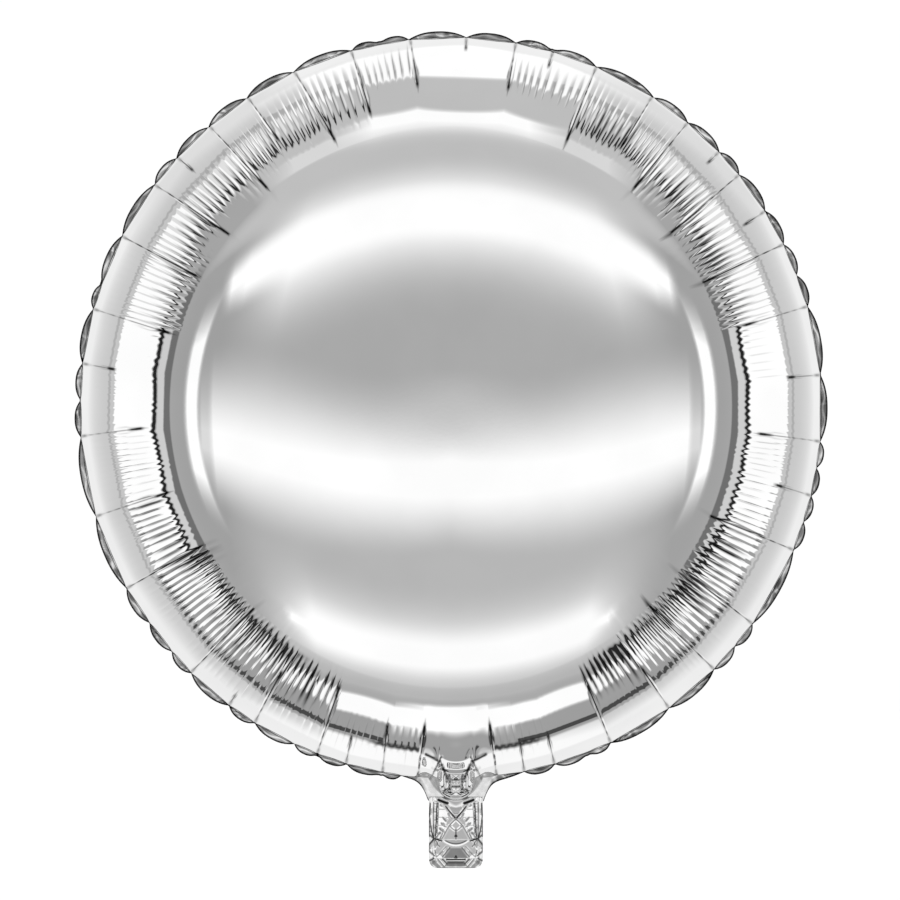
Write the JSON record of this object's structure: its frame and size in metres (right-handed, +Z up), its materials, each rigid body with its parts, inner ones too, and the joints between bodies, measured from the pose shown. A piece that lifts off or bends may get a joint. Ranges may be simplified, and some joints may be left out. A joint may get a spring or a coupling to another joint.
{
  "type": "round foil party balloon",
  "caption": "Round silver foil party balloon, filled, with a scalloped welded rim and a flat filling neck that folds.",
  "frame": {"origin": "middle of the filled envelope, on the plane of the rim weld", "axes": "+Z up, away from the neck; the front panel faces -Y and the back panel +Y; X runs across the front"},
  "size_m": [0.3552, 0.2094, 0.394],
  "materials": {
    "panel_foil": "mirror-bright metallised film",
    "weld_foil": "satin pressed film",
    "neck_foil": "mirror-bright creased film",
    "neck_weld_foil": "satin pressed film"
  },
  "bodies": {
    "envelope": {"front_panel": "panel_foil", "back_panel": "panel_foil", "rim_weld": "weld_foil"},
    "neck": {"neck_weld": "neck_weld_foil", "neck_foot": "neck_weld_foil", "neck_front_film": "neck_foil", "neck_back_film": "neck_foil"}
  },
  "joints": [
    {"name": "neck_fold", "type": "hinge", "parent": "envelope", "child": "neck", "pos_m": [0.0024, 0, -0.1859], "axis": [1, 0, 0], "range_deg": [-60, 60]}
  ]
}
